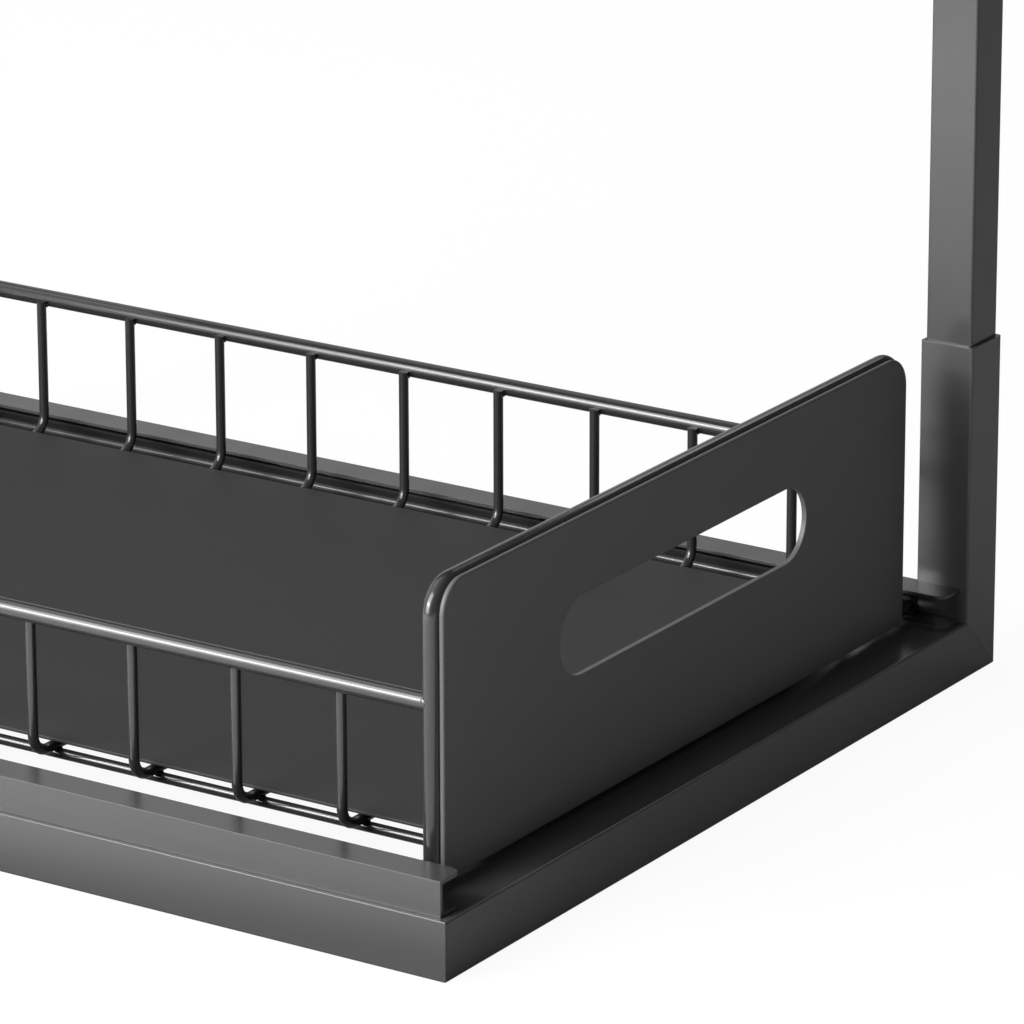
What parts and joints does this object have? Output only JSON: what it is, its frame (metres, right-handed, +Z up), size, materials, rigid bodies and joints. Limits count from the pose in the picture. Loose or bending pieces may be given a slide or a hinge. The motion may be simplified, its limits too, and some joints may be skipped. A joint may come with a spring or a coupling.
{
  "type": "pull-out cabinet basket",
  "caption": "Pull-out cabinet basket: a square-tube stand with its posts on one side and two wire baskets that slide out to the front.",
  "frame": {"origin": "middle of the footprint, on the surface that the base stands on", "axes": "+X to the side with the posts, +Y to the back, +Z up; the baskets pull out along -Y"},
  "size_m": [0.341, 0.47, 0.41],
  "materials": {
    "coated_tube": "satin dark grey powder coat",
    "coated_rail": "satin dark grey powder coat",
    "coated_wire": "semi-gloss dark grey coat",
    "coated_sheet": "fine matte dark grey powder coat",
    "slide_steel": "zinc plated",
    "screw_steel": "plated",
    "rubber": "matte"
  },
  "bodies": {
    "stand": {"base_front_bar": "coated_tube", "base_rear_bar": "coated_tube", "base_left_tube": "coated_tube", "base_right_tube": "coated_tube", "front_post_sleeve": "coated_tube", "rear_post_sleeve": "coated_tube", "front_post": "coated_tube", "rear_post": "coated_tube", "upper_front_sleeve": "coated_tube", "upper_rear_sleeve": "coated_tube", "upper_front_bar": "coated_tube", "upper_rear_bar": "coated_tube", "upper_left_tube": "coated_tube", "upper_right_tube": "coated_tube", "post_locking_screws": "screw_steel", "lower_left_rail": "coated_rail", "lower_right_rail": "coated_rail", "lower_rail_bumpers": "rubber", "upper_left_rail": "coated_rail", "upper_right_rail": "coated_rail", "upper_rail_bumpers": "rubber"},
    "lower_basket": {"lower_left_slide": "coated_rail", "lower_right_slide": "coated_rail", "lower_front_cross_rod": "coated_wire", "lower_rear_cross_rod": "coated_wire", "lower_front_panel": "coated_sheet", "lower_front_hoop": "coated_wire", "lower_top_rail": "coated_wire", "lower_cross_wires": "coated_wire", "lower_long_wires": "coated_wire", "lower_back_wires": "coated_wire", "lower_floor_plate": "coated_sheet"},
    "lower_ball_cages": {"lower_ball_cages": "slide_steel", "lower_slide_balls": "slide_steel"},
    "upper_basket": {"upper_left_slide": "coated_rail", "upper_right_slide": "coated_rail", "upper_front_cross_rod": "coated_wire", "upper_rear_cross_rod": "coated_wire", "upper_front_panel": "coated_sheet", "upper_front_hoop": "coated_wire", "upper_top_rail": "coated_wire", "upper_cross_wires": "coated_wire", "upper_long_wires": "coated_wire", "upper_back_wires": "coated_wire", "upper_floor_plate": "coated_sheet"},
    "upper_ball_cages": {"upper_ball_cages": "slide_steel", "upper_slide_balls": "slide_steel"}
  },
  "joints": [
    {"name": "lower_basket_slide", "type": "slide", "parent": "stand", "child": "lower_basket", "axis": [0, -1, 0], "range_m": [0, 0.32]},
    {"name": "lower_cages_roll", "type": "slide", "parent": "stand", "child": "lower_ball_cages", "axis": [0, -1, 0], "range_m": [0, 0.16]},
    {"name": "upper_basket_slide", "type": "slide", "parent": "stand", "child": "upper_basket", "axis": [0, -1, 0], "range_m": [0, 0.32]},
    {"name": "upper_cages_roll", "type": "slide", "parent": "stand", "child": "upper_ball_cages", "axis": [0, -1, 0], "range_m": [0, 0.16]}
  ],
  "couplings": [
    {"joint": "lower_cages_roll", "follows": "lower_basket_slide", "ratio": 0.5},
    {"joint": "upper_cages_roll", "follows": "upper_basket_slide", "ratio": 0.5}
  ]
}
